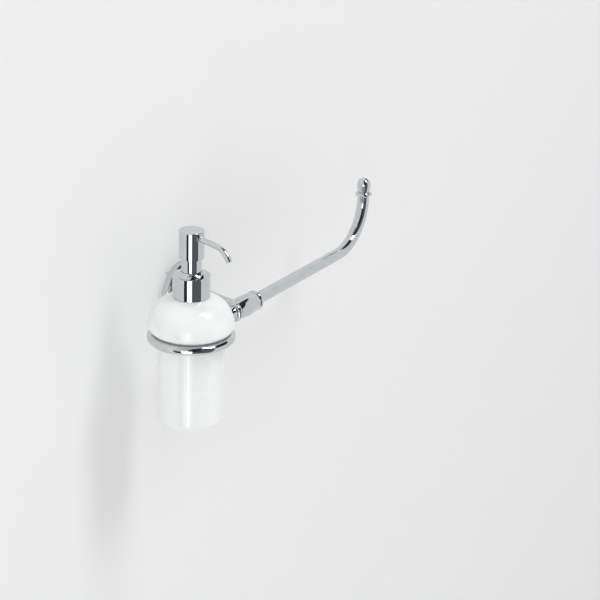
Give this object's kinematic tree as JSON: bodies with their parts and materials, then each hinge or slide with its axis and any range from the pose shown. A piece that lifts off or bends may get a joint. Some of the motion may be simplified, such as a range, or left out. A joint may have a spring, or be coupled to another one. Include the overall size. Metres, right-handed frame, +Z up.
{
  "type": "wall mounted soap dispenser",
  "caption": "Wall mounted chrome holder with a ring that carries a domed white ceramic soap bottle with a push pump, and a towel arm with an upturned end.",
  "frame": {"origin": "centre of the rosette, on the wall plane", "axes": "+X along the wall towards the towel arm, -Y straight out of the wall, +Z up"},
  "size_m": [0.356, 0.1243, 0.1845],
  "materials": {
    "chrome": "polished",
    "steel": "plain",
    "brass": "turned",
    "glazed_ceramic": "glossy white glaze",
    "seal": "matte",
    "pump_plastic": "moulded"
  },
  "bodies": {
    "holder": {"wall_plate": "steel", "rosette": "chrome", "rosette_set_screw": "steel", "post": "chrome", "post_washer": "brass", "post_nut": "brass", "tee_barrel": "chrome", "ring_bead": "chrome", "arm_bead": "chrome", "ring_stem": "chrome", "holder_ring": "chrome", "arm_spigot": "brass", "arm_tube": "chrome", "finial_bead": "chrome", "finial_knob": "chrome"},
    "bottle": {"bottle": "glazed_ceramic"},
    "pump": {"neck_gasket": "seal", "pump_housing": "pump_plastic", "housing_cap": "pump_plastic", "ball_cage": "pump_plastic", "dip_tube": "pump_plastic", "return_spring": "steel"},
    "ball": {"inlet_ball": "steel"},
    "collar": {"collar_shell": "chrome", "collar_liner": "pump_plastic"},
    "plunger": {"pump_stem": "pump_plastic", "piston": "pump_plastic"},
    "head": {"head_shell": "chrome", "head_core": "pump_plastic", "stem_sleeve": "chrome", "nozzle": "chrome"}
  },
  "joints": [
    {"name": "bottle_lift", "type": "slide", "parent": "holder", "child": "bottle", "axis": [0, 0, 1], "range_m": [0, 0.095]},
    {"name": "pump_lift", "type": "slide", "parent": "bottle", "child": "pump", "axis": [0, 0, 1], "range_m": [0, 0.135]},
    {"name": "ball_lift", "type": "slide", "parent": "pump", "child": "ball", "axis": [0, 0, 1], "range_m": [0, 0.0012]},
    {"name": "collar_turn", "type": "hinge", "parent": "pump", "child": "collar", "pos_m": [-0.0871, -0.0764, 0.05], "axis": [0, 0, 1], "range_deg": [0, 540]},
    {"name": "head_press", "type": "slide", "parent": "pump", "child": "plunger", "axis": [0, 0, -1], "range_m": [0, 0.012], "stiffness_N_per_m": 1000, "springref_m": -0.008, "deforming": ["return_spring"]},
    {"name": "head_turn", "type": "hinge", "parent": "plunger", "child": "head", "pos_m": [-0.0871, -0.0764, 0.09], "axis": [0, 0, 1], "continuous": true}
  ]
}
